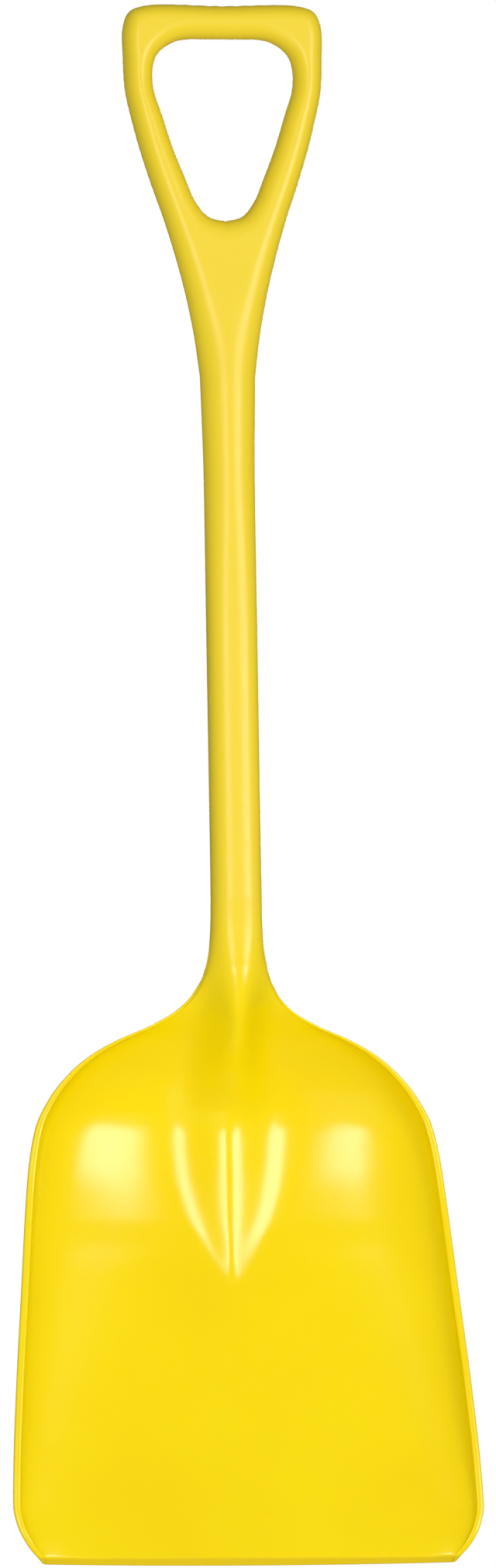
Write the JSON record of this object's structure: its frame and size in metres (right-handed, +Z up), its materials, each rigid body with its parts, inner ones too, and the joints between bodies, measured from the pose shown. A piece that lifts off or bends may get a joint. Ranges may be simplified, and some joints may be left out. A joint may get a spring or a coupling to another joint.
{
  "type": "grain scoop shovel",
  "caption": "Long-handled scoop shovel in yellow polypropylene: triangular D-grip, oval shaft and a wide dished square-mouth blade for grain, feed or ice.",
  "frame": {"origin": "middle of the small flat under the grip's crossbar, the face that rests on a wall hook when the shovel hangs", "axes": "+Z up along the handle, +X to the right seen from the front, the hollow of the blade faces -Y"},
  "size_m": [0.348, 0.0861, 1.1554],
  "materials": {
    "yellow_plastic": "satin moulded skin",
    "cellular_core": "foamed, open texture"
  },
  "bodies": {
    "root": {"grip_crossbar": "yellow_plastic", "grip_left_arm": "yellow_plastic", "grip_right_arm": "yellow_plastic", "grip_yoke": "yellow_plastic", "shaft_skin": "yellow_plastic", "neck": "yellow_plastic", "blade_back": "yellow_plastic", "blade_floor": "yellow_plastic", "blade_left_wall": "yellow_plastic", "blade_right_wall": "yellow_plastic", "blade_lip": "yellow_plastic", "shaft_core": "cellular_core"}
  },
  "joints": []
}
